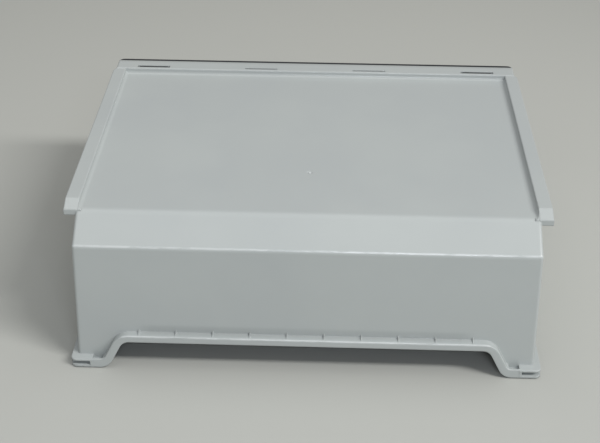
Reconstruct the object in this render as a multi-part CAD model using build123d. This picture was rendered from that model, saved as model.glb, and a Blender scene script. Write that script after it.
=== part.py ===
from build123d import *
import os
from math import cos, radians, sin, sqrt, tan

# A pull-out fridge drawer, lying with its open side down: the rim plane is z = 0 and the floor panel is up.
# The rear end faces -Y, the front cover faces +Y, and X = 0 is the middle. Sizes are in millimetres.

# Overall size
drawer_width = 460.0        # across the skid rails, and across the side rims
drawer_depth = 363.0        # rear rim to the cover's front face
drawer_height = 163.5       # rim plane to the front strip

# Walls of the moulding
wall = 2.5                  # thickness of walls, floor, skids and front frame
draft = 2.0                 # degrees; every wall opens towards the rim
floor_width = 437.0         # outside the side walls, at the floor panel
front_corner = 12.0         # upright front corners of the tub, at the rim
outer_edge_radius = 3.0     # side walls into rear wall, slope and floor, outside
inner_edge_radius = 1.0     # the same edges inside

# Slanted lower rear wall
slope_start = 42.0          # rear rim to the line where the floor turns down
slope_angle = 39.0          # degrees below the floor panel
slope_top_radius = 12.0     # floor into slope
slope_foot_radius = 5.0     # slope into rear wall

# Floor recess between skids and strip
floor_recess = 6.2          # floor panel below the front strip
recess_radius = 3.4         # hollow fillet round the recess

# Skid rails
skid_drop = 0.8             # skid tops below the front strip
skid_width = 13.8           # each skid's top
skid_root = 14.5            # height of the band that joins the skid to the side wall
skid_overhang = 1.2         # skid end past the start of the slope
skid_ramp_run = 13.0        # ramp at the skid's rear end
skid_ramp_drop = 5.3
skid_lip = 6.0              # height of the skid's turned-down rear end
skid_edge_radius = 1.0      # rounded edges of the skid's top
skid_front_corner = 7.0     # plan corner beside the front frame

# Front frame and its slotted strip
strip_depth = 25.1          # recess edge to the cover's seat
strip_edge_radius = 1.6     # rounded edge along the recess
frame_width = 455.0
frame_corner = 6.0          # plan corners of frame and cover together
frame_edge_radius = 2.0     # upper edges of the frame
strip_fall_run = 10.0       # the strip curves down a little towards the cover
strip_fall_drop = 2.2
slot_count = 4
slot_pitch = 123.3
slot_length = 36.8
outer_slot_width = 4.4      # the first and the last slot
inner_slot_width = 2.6      # the slots between them
slot_setback = 3.6          # recess edge to the slots

# Side rims with their runner channels
rim_reach = 8.5             # rim stands out from the rear wall
rim_corner = 6.0            # plan corners of the rim
rim_edge_radius = 0.8
lower_flange = 2.8
channel_gap = 4.5           # slot that the cabinet's runner rides in
upper_flange = 2.3
channel_end = 211.0         # middle to the inner end of the channel at the rear

# Rear rim with its notch
notch_depth = 31.2
notch_foot = 193.0          # middle to the notch flank at the rim plane
notch_flank = 63.0          # degrees from the rim plane
notch_rim = 7.2             # height of the rim round the notch
flank_rim = 8.0             # height of the rim across the flank
notch_foot_radius = 14.0
notch_head_radius = 10.0

# Pockets in the rear rim, beside the ends of the runner channels
pocket_length = 10.0
pocket_depth = 4.0

# Gussets between the rear wall and its rim
gusset_count = 10
gusset_pitch = 35.9
gusset_thickness = 1.2
gusset_height = 2.2
gusset_setback = 1.5        # gusset foot behind the rim's outer face

# Gate mark on the floor panel
gate_from_slope = 77.0
gate_width = 6.0
gate_depth = 0.8
gate_nub_radius = 0.9
gate_nub_height = 0.6

# Front cover
cover_thickness = 4.2
cover_edge_radius = 0.5
grip_width = 150.0          # cup-shaped finger pull
grip_reach = 16.0
grip_height = 18.0
grip_wall = 2.5
grip_corner = 13.0
hook_width = 32.0
hook_thickness = 2.4
hook_clearance = 0.3        # hook to strip and to the sides of its slot
hook_tip_depth = 0.8        # hook tip below the strip's top

# Levels and lines that follow from the sizes above
lean = tan(radians(draft))
floor_z = drawer_height - floor_recess
skid_z = drawer_height - skid_drop
rim_z = lower_flange + channel_gap + upper_flange
rear_y = -(drawer_depth + grip_reach) / 2
rear_wall_y = rear_y + rim_reach
slope_y = rear_y + slope_start
skid_end_y = slope_y - skid_overhang
ramp_y = skid_end_y + skid_ramp_run
cover_y = rear_y + drawer_depth
seat_y = cover_y - cover_thickness
step_y = seat_y - strip_depth
slot_y = step_y + slot_setback
half_width = drawer_width / 2
recess_half = half_width - skid_width
tab_end = channel_end - wall
overcut = 20.0              # how far a cutting shape runs past the surface it cuts
undercut = 2.0              # how far one runs on into the hollow behind a thin wall

# Outer face of the rear wall: X across, Y up the wall, Z outwards
rear_out = Vector(0, -cos(radians(draft)), sin(radians(draft)))
rear_face = Plane((0, rear_wall_y, 0), x_dir=(1, 0, 0), z_dir=rear_out)


def block(x_from, x_to, y_from, y_to, z_from, z_to):
    """A plain block between two corners."""
    middle = Pos((x_from + x_to) / 2, (y_from + y_to) / 2, (z_from + z_to) / 2)
    return middle * Box(x_to - x_from, y_to - y_from, z_to - z_from)


def across(outline, x_from, x_to):
    """A solid with a side outline of (y, z) lines, from one X to another."""
    return extrude(Plane.YZ.offset(x_from) * make_face(outline), x_to - x_from)


def polygon(*points):
    """A closed outline of straight lines."""
    return Polyline(*points, close=True)


def both_sides(solid):
    """The solid on the right together with its mirror image on the left."""
    return solid + mirror(solid, Plane.YZ)


def places(count, pitch):
    """Places of a row of like features, centred on the middle."""
    return [(i - (count - 1) / 2) * pitch for i in range(count)]


def front_lean(z):
    """Y of the front wall's inner face at a height."""
    return step_y + (floor_z - z) * lean


def tub(inset, foot_z, edge_radius):
    """The drafted tub with its slanted lower rear, every face moved inwards by the inset."""
    half_foot = floor_width / 2 + (floor_z - foot_z) * lean - inset
    rear_foot = rear_wall_y + foot_z * lean + inset
    front_foot = front_lean(foot_z) + wall - inset
    foot = Pos(0, (rear_foot + front_foot) / 2) * Rectangle(2 * half_foot, front_foot - rear_foot)
    foot = fillet(foot.vertices().group_by(Axis.Y)[-1], front_corner - inset)
    solid = extrude(Pos(0, 0, foot_z) * foot, floor_z - inset - foot_z, taper=draft)

    turn = radians(slope_angle)
    outward = Vector(0, -sin(turn), cos(turn))
    slope = Plane(Vector(0, slope_y, floor_z) - outward * inset, x_dir=(1, 0, 0), z_dir=outward)
    reach = 2 * drawer_width
    solid -= slope * Pos(0, 0, reach / 2) * Box(reach, reach, reach)

    floor_face = solid.faces().sort_by(Axis.Z)[-1]
    solid = fillet(floor_face.edges().sort_by(Axis.Y)[0], slope_top_radius - inset)
    slope_face = solid.faces().sort_by(Axis((0, 0, 0), tuple(outward)))[-1]
    solid = fillet(slope_face.edges().sort_by(Axis.Z)[0], slope_foot_radius - inset)

    # The rear corners run on smoothly along the slope and round the floor
    rear_wall = solid.faces().sort_by(Axis.Y)[0]
    corners = rear_wall.edges().sort_by(Axis.X)
    return fillet([corners[0], corners[-1]], edge_radius)


def skid():
    """The right skid rail: a flange with a ramp at its rear end, on a band along the side wall."""
    front_y = step_y + wall
    ramp_slope = skid_ramp_drop / skid_ramp_run
    bend_y = ramp_y + wall * (sqrt(1 + ramp_slope**2) - 1) / ramp_slope
    under_z = skid_z - wall
    end_z = skid_z - skid_ramp_drop
    end_under_z = under_z - (bend_y - skid_end_y - wall) * ramp_slope
    lip_y = skid_end_y + wall
    lip_z = end_z - skid_lip
    side = polygon((skid_end_y, lip_z), (skid_end_y, end_z), (ramp_y, skid_z), (front_y, skid_z),
                   (front_y, under_z), (bend_y, under_z), (lip_y, end_under_z), (lip_y, lip_z))
    flange = across(side, recess_half, half_width)
    front_edges = flange.edges().filter_by(Axis.Z).group_by(Axis.Y)[-1]
    flange = fillet(front_edges.sort_by(Axis.X)[-1], skid_front_corner)

    def on_top(edge):
        middle = edge.center()
        fall = max(0, ramp_y - middle.Y) * ramp_slope
        return middle.Z > skid_z - fall - wall / 4

    top_edges = flange.edges().filter_by(on_top)
    outer, inner = top_edges.group_by(Axis.X)[-1], top_edges.group_by(Axis.X)[0]
    flange = fillet(outer + inner + top_edges.group_by(Axis.Y)[0], skid_edge_radius)

    root_z = skid_z - skid_root
    band = polygon((lip_y, root_z), (lip_y, end_under_z), (bend_y, under_z),
                   (front_y, under_z), (front_y, root_z))
    rail = flange + across(band, recess_half, recess_half + wall)

    # Stock for the hollow fillet beside the floor panel
    stock_z = floor_z - wall
    stock = polygon((skid_end_y, lip_z), (skid_end_y, end_z), (ramp_y, skid_z), (front_y, skid_z),
                    (front_y, stock_z), (slope_y, stock_z))
    return rail + across(stock, recess_half - recess_radius, recess_half)


def floor_recess_cutter():
    """The space above the floor panel, with rounded lower edges that leave the hollow fillet."""
    cutter = block(-recess_half, recess_half, rear_y - overcut, step_y, floor_z, drawer_height + overcut)
    foot = cutter.faces().sort_by(Axis.Z)[0]
    return fillet(foot.edges().sort_by(Axis.Y)[1:], recess_radius)


def front_outline(y_from, y_to, z_to, edge_radius):
    """Frame and cover as one block with rounded front corners and top edges, between two Y planes."""
    half = frame_width / 2
    depth = cover_y - y_from + overcut
    plan = Pos(0, cover_y - depth / 2) * Rectangle(frame_width, depth)
    plan = fillet(plan.vertices().group_by(Axis.Y)[-1], frame_corner)
    prism = extrude(plan, z_to)
    prism = fillet(prism.edges().group_by(Axis.Z)[-1].sort_by(Axis.Y)[1:], edge_radius)
    return prism & block(-half, half, y_from, y_to, 0, z_to)


def front_frame():
    """The shallow pan in front of the tub: its floor is the front wall, its sides carry the cover."""
    fall_y = seat_y - strip_fall_run
    seat_z = drawer_height - strip_fall_drop
    side = Line((step_y, drawer_height), (fall_y, drawer_height))
    side += TangentArc((fall_y, drawer_height), (seat_y, seat_z), tangent=(1, 0))
    side += Polyline((seat_y, seat_z), (seat_y, 0), (front_lean(0), 0), (step_y, floor_z),
                     (step_y, drawer_height))
    half = frame_width / 2
    pan = across(side, -half, half)
    pan = fillet(pan.edges().group_by(Axis.Z)[-1].sort_by(Axis.Y)[0], strip_edge_radius)
    pan &= front_outline(step_y - wall, seat_y, drawer_height, frame_edge_radius)
    pan += block(-recess_half, recess_half, step_y - recess_radius, step_y,
                 floor_z - wall, floor_z + recess_radius)

    top = drawer_height - wall
    past_y = seat_y + overcut
    hollow = polygon((front_lean(top) + wall, top), (fall_y, top), (seat_y, seat_z - wall),
                     (past_y, seat_z - wall), (past_y, wall), (front_lean(wall) + wall, wall))
    return pan, across(hollow, wall - half, half - wall)


def strip_slots():
    """Place and width of each slot in the front strip that a hook of the cover reaches into."""
    spots = places(slot_count, slot_pitch)
    ends = (spots[0], spots[-1])
    return [(x, outer_slot_width if x in ends else inner_slot_width) for x in spots]


def slot_cutter(x, width):
    """What is cut out of the strip for one slot."""
    half = slot_length / 2
    return block(x - half, x + half, slot_y, slot_y + width,
                 drawer_height - wall - undercut, drawer_height + overcut)


def side_rims(body):
    """Side rims that turn the rear corners, and the runner channels cut into them."""
    front_y = front_lean(0) + wall
    plan = Pos(0, (rear_y + front_y) / 2) * Rectangle(drawer_width, front_y - rear_y)
    plan = fillet(plan.vertices().group_by(Axis.Y)[0], rim_corner)
    rear_gap = block(-tab_end, tab_end, rear_y - overcut, rear_wall_y, -overcut, rim_z + overcut)
    rims = extrude(plan, rim_z)
    rims = fillet(rims.edges().group_by(Axis.Z)[-1].sort_by(Axis.Y)[:-1], rim_edge_radius) - rear_gap

    channel = block(channel_end, half_width + overcut, rear_y - overcut, front_lean(rim_z),
                    lower_flange, lower_flange + channel_gap)
    return rims, both_sides(channel - body)


def notch_line(rise_at_foot, rise_at_head, shift, foot_radius, head_radius):
    """Area of the rear wall below a line that follows the notch, the line moved outwards by the shift."""
    slant = radians(notch_flank)
    far = drawer_width
    flank = notch_foot + shift / sin(slant)
    foot_x = flank - rise_at_foot / tan(slant)
    head_x = flank - rise_at_head / tan(slant)
    right = [(head_x, rise_at_head), (foot_x, rise_at_foot), (far, rise_at_foot), (far, -overcut)]
    left = [(-x, y) for x, y in reversed(right)]
    area = make_face(polygon(*left, *right))
    foot = area.vertices().filter_by(lambda v: abs(abs(v.X) - foot_x) < 0.01)
    area = fillet(foot, foot_radius)
    head = area.vertices().filter_by(lambda v: abs(abs(v.X) - head_x) < 0.01)
    return fillet(head, head_radius)


def rear_rim():
    """The stepped-out rear rim that follows the notch, and the step and notch cut away under it."""
    head_z = notch_depth + notch_rim
    foot_radius = notch_foot_radius - flank_rim
    head_radius = notch_head_radius + flank_rim
    ledge_top = notch_line(rim_z, head_z, flank_rim, foot_radius, head_radius)
    ledge_foot = notch_line(rim_z - upper_flange, head_z - upper_flange, flank_rim - upper_flange,
                            foot_radius + upper_flange, head_radius - upper_flange)
    opening = notch_line(0, notch_depth, 0, notch_foot_radius, notch_head_radius)
    between_tabs = block(-tab_end, tab_end, rear_y - overcut, rear_wall_y + 2 * overcut,
                         -overcut, drawer_height)

    rim = extrude(rear_face * ledge_top, rim_reach) & between_tabs
    outer_face = rim.faces().sort_by(Axis((0, 0, 0), tuple(rear_out)))[-1]
    upper_edges = outer_face.edges().filter_by_position(Axis.Z, rim_z - wall, drawer_height)
    rim = fillet(upper_edges, rim_edge_radius)
    step = extrude(rear_face.offset(-overcut) * ledge_foot, overcut + rim_reach - wall) & between_tabs
    notch = extrude(rear_face.offset(-overcut) * opening, 2 * overcut + rim_reach)
    return rim, step, notch


def gussets():
    """The row of small gussets that stand on the rim over the notch."""
    head_z = notch_depth + notch_rim
    sunk_z = head_z - wall / 2
    foot = rim_reach - gusset_setback
    outline = make_face(polygon((0, sunk_z), (foot, sunk_z), (foot, head_z), (0, head_z + gusset_height)))
    row = []
    for x in places(gusset_count, gusset_pitch):
        side = Plane((x + gusset_thickness / 2, rear_wall_y, 0), x_dir=rear_out, z_dir=(-1, 0, 0))
        row.append(extrude(side * outline, gusset_thickness))
    return row


def rim_pockets(body):
    """Pockets sunk into the rim beside the channel ends, and the stock that is left under them."""
    from_x = tab_end - pocket_length
    pocket_z = rim_z - pocket_depth
    pocket = block(from_x, tab_end, rear_y + wall, rear_wall_y + overcut, pocket_z, rim_z + overcut)
    stock = block(from_x - wall, tab_end, rear_y - overcut, rear_wall_y + 2 * overcut,
                  pocket_z - upper_flange, drawer_height)
    return both_sides(pocket - body), both_sides(stock)


def gate_mark():
    """The dimple round the gate on the floor panel, and the nub in its middle."""
    ball_radius = (gate_width**2 / 4 + gate_depth**2) / (2 * gate_depth)
    centre = Pos(0, slope_y + gate_from_slope, floor_z)
    dimple = centre * Pos(0, 0, ball_radius - gate_depth) * Sphere(ball_radius)
    nub_length = gate_nub_height + wall / 2
    nub_z = gate_nub_height - gate_depth - nub_length / 2
    nub = centre * Pos(0, 0, nub_z) * Cylinder(gate_nub_radius, nub_length)
    return dimple, nub


def bin_moulding():
    """The whole bin, one moulding."""
    body = tub(0, 0, outer_edge_radius)
    pan, frame_hollow = front_frame()
    rims, channels = side_rims(body)
    rim, step, notch = rear_rim()
    pockets, pocket_stock = rim_pockets(body)
    dimple, nub = gate_mark()
    slots = [slot_cutter(x, width) for x, width in strip_slots()]

    solid = body + pan + both_sides(skid()) + rims + rim + gussets()
    solid -= floor_recess_cutter()
    solid -= tub(wall, -undercut, inner_edge_radius)
    for cut in [frame_hollow, channels, step - pocket_stock, pockets, notch, dimple, *slots]:
        solid -= cut
    solid += nub
    return solid & block(-half_width, half_width, rear_y, cover_y, 0, drawer_height)


def front_cover():
    """The cover plate with its finger pull, and the hooks that reach back under the strip."""
    cover_top = drawer_height - strip_fall_drop
    plate = front_outline(seat_y, cover_y, cover_top, cover_edge_radius)

    grip_y = cover_y + grip_reach
    inner_half = grip_width / 2 - grip_wall
    cup = block(-grip_width / 2, grip_width / 2, seat_y + cover_thickness / 2, grip_y, 0, grip_height)
    cup = fillet(cup.edges().filter_by(Axis.Z).group_by(Axis.Y)[-1], grip_corner)
    hollow = block(-inner_half, inner_half, cover_y, grip_y - grip_wall, grip_wall, grip_height + overcut)
    hollow = fillet(hollow.edges().filter_by(Axis.Z).group_by(Axis.Y)[-1], grip_corner - grip_wall)
    plate += cup - hollow

    arm_z = cover_top - wall - hook_clearance
    tip_y = slot_y + hook_clearance
    half = hook_width / 2
    for x, width in strip_slots():
        tip_end = slot_y + width - hook_clearance
        plate += block(x - half, x + half, tip_y, seat_y, arm_z - hook_thickness, arm_z)
        plate += block(x - half, x + half, tip_y, tip_end, arm_z, drawer_height - hook_tip_depth)
    return plate


os.makedirs("parts", exist_ok=True)
export_step(bin_moulding(), "parts/bin.step")
export_step(front_cover(), "parts/front_cover.step")
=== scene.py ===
from math import cos, radians, sin

import bpy
import numpy as np
from mathutils import Matrix, Vector


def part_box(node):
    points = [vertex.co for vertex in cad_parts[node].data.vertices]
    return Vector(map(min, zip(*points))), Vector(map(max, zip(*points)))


# The fridge drawer lies open side down: floor panel up, rear wall towards the camera,
# front cover away from it.
# Everything is in metres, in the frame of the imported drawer.

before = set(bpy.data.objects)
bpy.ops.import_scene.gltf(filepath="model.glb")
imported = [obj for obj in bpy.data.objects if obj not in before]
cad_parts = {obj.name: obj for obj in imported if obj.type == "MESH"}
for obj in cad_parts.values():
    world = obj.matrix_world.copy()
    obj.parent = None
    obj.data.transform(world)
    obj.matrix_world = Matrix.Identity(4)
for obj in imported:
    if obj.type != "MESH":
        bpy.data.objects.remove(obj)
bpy.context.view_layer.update()        # the imported parts are the bin and its front cover
scene = bpy.context.scene
scene.view_settings.view_transform = "Standard"
millimetre = 0.001
noiseMiddle = 0.5        # noise swings to both sides of this
binLow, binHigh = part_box("bin")
print("frame loaded:", sorted(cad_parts))


# Shader maths

class Wire:
    # wraps one output socket; arithmetic on it adds Math nodes to its node tree
    def __init__(self, paint, socket):
        self.paint = paint
        self.socket = socket

    def math(self, operation, first, second):
        return self.paint.node("ShaderNodeMath", {"operation": operation}, {0: first, 1: second})

    def __add__(self, other):
        return self.math("ADD", self, other)

    def __sub__(self, other):
        return self.math("SUBTRACT", self, other)

    def __rsub__(self, other):
        return self.math("SUBTRACT", other, self)

    def __mul__(self, other):
        return self.math("MULTIPLY", self, other)

    def __pow__(self, other):
        return self.math("POWER", self, other)

    __radd__ = __add__
    __rmul__ = __mul__


class Paint:
    # the node tree of a material or a world, filled by node() and by expressions on wires
    def __init__(self, owner):
        self.owner = owner
        self.owner.use_nodes = True
        self.tree = self.owner.node_tree
        self.tree.nodes.clear()

    def node(self, kind, settings=None, inputs=None, output=0):
        made = self.tree.nodes.new(kind)
        for key, value in (settings or {}).items():
            setattr(made, key, value)
        for key, value in (inputs or {}).items():
            if isinstance(value, Wire):
                self.tree.links.new(value.socket, made.inputs[key])
            else:
                made.inputs[key].default_value = value
        return Wire(self, made.outputs[output]) if len(made.outputs) else made

    def place(self):
        return self.node("ShaderNodeTexCoord", output="Object")

    def axes(self, vector):
        split = self.node("ShaderNodeSeparateXYZ", None, {0: vector}).socket.node
        return [Wire(self, socket) for socket in split.outputs]

    def stretched(self, vector, scale):
        return self.node("ShaderNodeMapping", None, {"Vector": vector, "Scale": scale})

    def noise(self, vector, scale, detail=2.0, roughness=0.5):
        values = {"Vector": vector, "Scale": scale, "Detail": detail, "Roughness": roughness}
        return self.node("ShaderNodeTexNoise", None, values)

    def between(self, value, low, high):
        # 0 below low, 1 above high, smooth in between
        settings = {"interpolation_type": "SMOOTHSTEP"}
        return self.node("ShaderNodeMapRange", settings, {"Value": value, "From Min": low, "From Max": high})

    def bump(self, height, strength, distance, normal=None):
        values = {"Height": height, "Strength": strength, "Distance": distance}
        if normal is not None:
            values["Normal"] = normal
        return self.node("ShaderNodeBump", None, values)

    def mix(self, share, first, second):
        values = {"Factor": share, 6: first, 7: second}
        return self.node("ShaderNodeMix", {"data_type": "RGBA"}, values, output=2)

    def finish(self, values):
        shader = self.node("ShaderNodeBsdfPrincipled", None, values)
        self.node("ShaderNodeOutputMaterial", None, {"Surface": shader})
        return self.owner


def colour(red, green, blue):
    # a colour as it looks on a screen, 0 to 255, turned into the linear values that shaders take
    share = np.array([red, green, blue]) / 255
    linear = np.where(share <= 0.04045, share / 12.92, ((share + 0.055) / 1.055) ** 2.4)
    return (*linear.tolist(), 1.0)


# Bin: pale bluish-grey moulding with a satin grain, with painted highlights along its long edges

binFinish = {
    "base": colour(178, 183, 182),
    "paler": colour(180, 185, 184),
    "deeper": colour(176, 181, 181),
    "patchScale": 7.0,                       # soft clouds of tone, about 140 mm across
    "patchRange": (0.35, 0.65),
    "flowScale": 26.0,                       # faint flow marks of the moulding, drawn out along Y
    "flowStretch": (1.0, 0.25, 1.0),
    "flowRange": (0.3, 0.7),
    "flowShare": 0.5,
    "grainScale": 2200.0,                    # satin grain, under half a millimetre
    "grainDepth": 0.04 * millimetre,
    "grainStrength": 0.5,
    "waveScale": 90.0,                       # slow waviness of a thin moulded wall
    "waveDepth": 0.05 * millimetre,
    "waveStrength": 0.35,
    "roughness": 0.2,
    "roughnessSwing": 0.04,
    "softEdge": 1.6 * millimetre,            # edges of the moulding are never quite sharp
    "softEdgeSamples": 6,
}

# Painted highlight along the rear edge and the outer edge of the ledge, broken into streaks like rubbed wear
paintedEdgeHighlight = {
    "tone": colour(210, 214, 214),           # painted highlight, paler than the rest of the moulding
    "rearEdge": (binLow[1] + 14.2 * millimetre, binHigh[2] - 29.0 * millimetre),     # y and z
    "ledgeEdge": (binLow[1] + 1.6 * millimetre, binLow[2] + 38.1 * millimetre),
    "width": 1.6 * millimetre,               # from the line out to where it has faded
    "share": 0.75,
    "streakScale": 45.0,
    "streakStretch": (1.0, 6.0, 6.0),
    "streakRange": (0.3, 0.6),
}

# Painted shade: a darker band along the corner where the rear wall meets the ledge
paintedCornerShade = {
    "tone": colour(146, 150, 149),           # painted shade between the rear wall and the ledge
    "corner": (binLow[1] + 10.0 * millimetre, binLow[2] + 40.5 * millimetre),        # y and z
    "width": 8.0 * millimetre,
    "reach": 168.0 * millimetre,             # the ledge runs level this far to each side
    "fade": 20.0 * millimetre,
    "share": 0.36,
}

# Painted highlight: a pale spot on the moulding gate mark in the floor panel
paintedGateHighlight = {
    "tone": colour(228, 232, 231),           # painted highlight on the moulding gate mark
    "centre": (0.5 * millimetre, binLow[1] + 118.8 * millimetre, binHigh[2] - 6.0 * millimetre),
    "width": 1.9 * millimetre,
    "share": 0.8,
}


def nearLine(paint, place, line, width):
    # 1 on a line that runs along X, falling smoothly to 0 at the given distance from it
    _, rearward, upward = paint.axes(place)
    rearward = rearward - line[0]
    upward = upward - line[1]
    distance = (rearward * rearward + upward * upward) ** 0.5
    fullUpTo = 0.3 * width
    return 1 - paint.between(distance, fullUpTo, width)


def withPaintedEdgeHighlight(paint, place, tone, look):
    # paints the streaky highlight along both edges into the tone
    drawn = paint.stretched(place, look["streakStretch"])
    streaks = paint.noise(drawn, look["streakScale"], detail=4.0, roughness=0.6)
    rear = nearLine(paint, place, look["rearEdge"], look["width"])
    ledge = nearLine(paint, place, look["ledgeEdge"], look["width"])
    highlighted = (rear + ledge) * paint.between(streaks, *look["streakRange"]) * look["share"]
    return paint.mix(highlighted, tone, look["tone"])


def withPaintedCornerShade(paint, place, tone, look):
    # paints the shade along the corner, fading out where the ledge stops running level
    sideways = paint.node("ShaderNodeMath", {"operation": "ABSOLUTE"}, {0: paint.axes(place)[0]})
    level = 1 - paint.between(sideways, look["reach"] - look["fade"], look["reach"])
    shaded = nearLine(paint, place, look["corner"], look["width"]) * level * look["share"]
    return paint.mix(shaded, tone, look["tone"])


def withPaintedGateHighlight(paint, place, tone, look):
    # paints the highlight as a pale spot round the gate centre
    values = {0: place, 1: look["centre"]}
    away = paint.node("ShaderNodeVectorMath", {"operation": "DISTANCE"}, values, output="Value")
    fullUpTo = 0.4 * look["width"]
    gateHighlight = 1 - paint.between(away, fullUpTo, look["width"])
    return paint.mix(gateHighlight * look["share"], tone, look["tone"])


def binPlastic(look):
    paint = Paint(bpy.data.materials.new("binPlastic"))
    place = paint.place()
    patches = paint.noise(place, look["patchScale"], detail=3.0)
    flow = paint.noise(paint.stretched(place, look["flowStretch"]), look["flowScale"], detail=4.0)
    tone = paint.mix(paint.between(patches, *look["patchRange"]), look["deeper"], look["paler"])
    tone = paint.mix(paint.between(flow, *look["flowRange"]) * look["flowShare"], tone, look["base"])
    tone = withPaintedCornerShade(paint, place, tone, paintedCornerShade)
    tone = withPaintedEdgeHighlight(paint, place, tone, paintedEdgeHighlight)
    tone = withPaintedGateHighlight(paint, place, tone, paintedGateHighlight)
    roughness = look["roughness"] + (flow - noiseMiddle) * look["roughnessSwing"]
    grain = paint.noise(place, look["grainScale"], roughness=0.6)
    wave = paint.noise(place, look["waveScale"], detail=1.0)
    settings = {"samples": look["softEdgeSamples"]}
    rounded = paint.node("ShaderNodeBevel", settings, {"Radius": look["softEdge"]})
    waved = paint.bump(wave, look["waveStrength"], look["waveDepth"], rounded)
    grained = paint.bump(grain, look["grainStrength"], look["grainDepth"], waved)
    return paint.finish({"Base Color": tone, "Roughness": roughness, "Normal": grained})


# Front cover: dark smoke-grey moulding with faint smears

coverFinish = {
    "base": colour(34, 36, 40),
    "deeper": colour(27, 29, 33),
    "cloudScale": 9.0,
    "cloudRange": (0.35, 0.65),
    "speckleScale": 1400.0,
    "speckleDepth": 0.02 * millimetre,
    "speckleStrength": 0.4,
    "roughness": 0.4,
    "smearScale": 38.0,
    "smearStretch": (1.0, 1.0, 0.3),
    "smearRange": (0.45, 0.75),
    "smearRoughness": 0.16,                  # added where a smear is
}


def coverPlastic(look):
    paint = Paint(bpy.data.materials.new("coverPlastic"))
    place = paint.place()
    clouds = paint.noise(place, look["cloudScale"], detail=3.0)
    tone = paint.mix(paint.between(clouds, *look["cloudRange"]), look["deeper"], look["base"])
    drawn = paint.stretched(place, look["smearStretch"])
    smears = paint.noise(drawn, look["smearScale"], detail=4.0, roughness=0.6)
    roughness = look["roughness"] + paint.between(smears, *look["smearRange"]) * look["smearRoughness"]
    speckle = paint.noise(place, look["speckleScale"])
    fine = paint.bump(speckle, look["speckleStrength"], look["speckleDepth"])
    return paint.finish({"Base Color": tone, "Roughness": roughness, "Normal": fine})


def dress(node, material):
    node.data.materials.clear()
    node.data.materials.append(material)


dress(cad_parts["bin"], binPlastic(binFinish))
dress(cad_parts["front_cover"], coverPlastic(coverFinish))
print("bin and cover dressed")


# Floor and surroundings

room = {
    "floorSize": 30.0,
    "floorDrop": 0.8 * millimetre,       # under the rim, so that a thin shadow shows below the feet
    "floorColour": colour(181, 182, 177),
    "floorRoughness": 0.85,
    "backdrop": colour(158, 159, 154),   # what the camera sees past the floor
    "blendFrom": 0.45,                   # the floor turns into the backdrop between these distances
    "blendTo": 1.4,
    "skyColour": (1.0, 1.0, 0.985, 1.0),
    "skyStrength": 0.28,
}


def makeFloor(look):
    # one square sheet: corners at plus and minus half the size, level, facing up
    half = look["floorSize"] / 2
    corners = np.array([[-1, -1], [1, -1], [1, 1], [-1, 1]]) * half
    points = np.column_stack([corners, np.full(4, -look["floorDrop"])])
    mesh = bpy.data.meshes.new("floor")
    mesh.from_pydata(points.tolist(), [], [(0, 1, 2, 3)])
    floor = bpy.data.objects.new("floor", mesh)
    scene.collection.objects.link(floor)
    mesh.materials.append(paleFloor(look))


def paleFloor(look):
    # lit floor round the drawer, plain backdrop farther away; lamps and shadows only see the lit floor
    paint = Paint(bpy.data.materials.new("paleFloor"))
    sideways, onward, _ = paint.axes(paint.place())
    away = (sideways * sideways + onward * onward) ** 0.5
    ray = paint.node("ShaderNodeLightPath", output="Is Camera Ray")
    gloss = Wire(paint, ray.socket.node.outputs["Is Glossy Ray"])
    plain = paint.between(away, look["blendFrom"], look["blendTo"]) * (ray + gloss)
    lit = paint.node("ShaderNodeBsdfPrincipled", None,
                     {"Base Color": look["floorColour"], "Roughness": look["floorRoughness"]})
    backdrop = paint.node("ShaderNodeEmission", None, {"Color": look["backdrop"]})
    shader = paint.node("ShaderNodeMixShader", None, {0: plain, 1: lit, 2: backdrop})
    paint.node("ShaderNodeOutputMaterial", None, {"Surface": shader})
    return paint.owner


def makeWorld(look):
    # lights the drawer evenly from the sky, and shows the camera a plain backdrop
    scene.world = bpy.data.worlds.new("studioSky")
    paint = Paint(scene.world)
    light = {"Color": look["skyColour"], "Strength": look["skyStrength"]}
    sky = paint.node("ShaderNodeBackground", None, light)
    backdrop = paint.node("ShaderNodeBackground", None, {"Color": look["backdrop"]})
    ray = paint.node("ShaderNodeLightPath", output="Is Camera Ray")
    shader = paint.node("ShaderNodeMixShader", None, {0: ray, 1: sky, 2: backdrop})
    paint.node("ShaderNodeOutputWorld", None, {"Surface": shader})


makeFloor(room)
makeWorld(room)


# Lamps: a long window high on the right, a pale ceiling, and a short strip behind the camera

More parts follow.
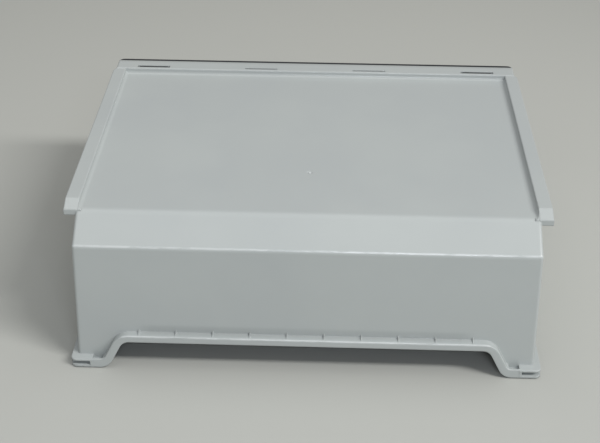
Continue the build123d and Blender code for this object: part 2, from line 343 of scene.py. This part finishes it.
lamps = {
    "windowLamp": {
        "from": (0.617, -0.367, 0.70),       # direction towards the lamp
        "distance": 9.0,
        "size": (4.6, 1.05),                 # along X, and across it
        "watts": 510.0,
        "tint": (1.0, 0.995, 0.98),
    },
    "ceilingLamp": {
        "from": (0.0, 0.0, 1.0),
        "distance": 3.5,
        "size": (3.5, 3.5),
        "watts": 36.0,
        "tint": (1.0, 1.0, 0.99),
    },
    "fillLamp": {
        "from": (0.10, -0.83, 0.55),
        "distance": 1.8,
        "size": (0.55, 0.12),
        "watts": 5.2,
        "tint": (0.9, 0.97, 1.08),
    },
}
lampAim = (0.0, 0.0, 0.1)


def softLamp(name, look):
    # the lamp faces its aim, and its long side stays in one plane with the X axis
    light = bpy.data.lights.new(name, "AREA")
    light.shape = "RECTANGLE"
    light.size, light.size_y = look["size"]
    light.energy = look["watts"]
    light.color = look["tint"]
    lamp = bpy.data.objects.new(name, light)
    towards = Vector(look["from"]).normalized()
    along = (Vector((1.0, 0.0, 0.0)) - towards * towards.x).normalized()
    turned = Matrix((along, towards.cross(along), towards)).transposed()
    place = Vector(lampAim) + towards * look["distance"]
    lamp.matrix_world = Matrix.Translation(place) @ turned.to_4x4()
    scene.collection.objects.link(lamp)


for name, look in lamps.items():
    softLamp(name, look)
print("floor, sky and lamps ready")


# Camera where the photograph was taken from

photoView = {
    "imageWide": 600,                        # pixels
    "focalLength": 1178.04,                  # pixels
    "sensor": 36.0,                          # millimetres
    "stand": (0.01987, -1.07514, 0.75364),
    "yaw": 1.66,                             # degrees, turned left of straight ahead
    "pitch": 33.08,                          # degrees, looking down
    "roll": 0.41,
}


def makeCamera(look):
    yaw = radians(look["yaw"])
    pitch = radians(look["pitch"])
    roll = radians(look["roll"])
    ahead = Vector((-sin(yaw) * cos(pitch), cos(yaw) * cos(pitch), -sin(pitch)))
    level = Vector((cos(yaw), sin(yaw), 0.0))
    upright = level.cross(ahead)
    right = level * cos(roll) + upright * sin(roll)
    up = upright * cos(roll) - level * sin(roll)
    data = bpy.data.cameras.new("photoCamera")
    data.sensor_fit = "HORIZONTAL"
    data.sensor_width = look["sensor"]
    data.lens = look["sensor"] * look["focalLength"] / look["imageWide"]
    camera = bpy.data.objects.new("photoCamera", data)
    turned = Matrix((right, up, -ahead)).transposed()
    camera.matrix_world = Matrix.Translation(look["stand"]) @ turned.to_4x4()
    scene.collection.objects.link(camera)
    scene.camera = camera


makeCamera(photoView)
print("camera ready")
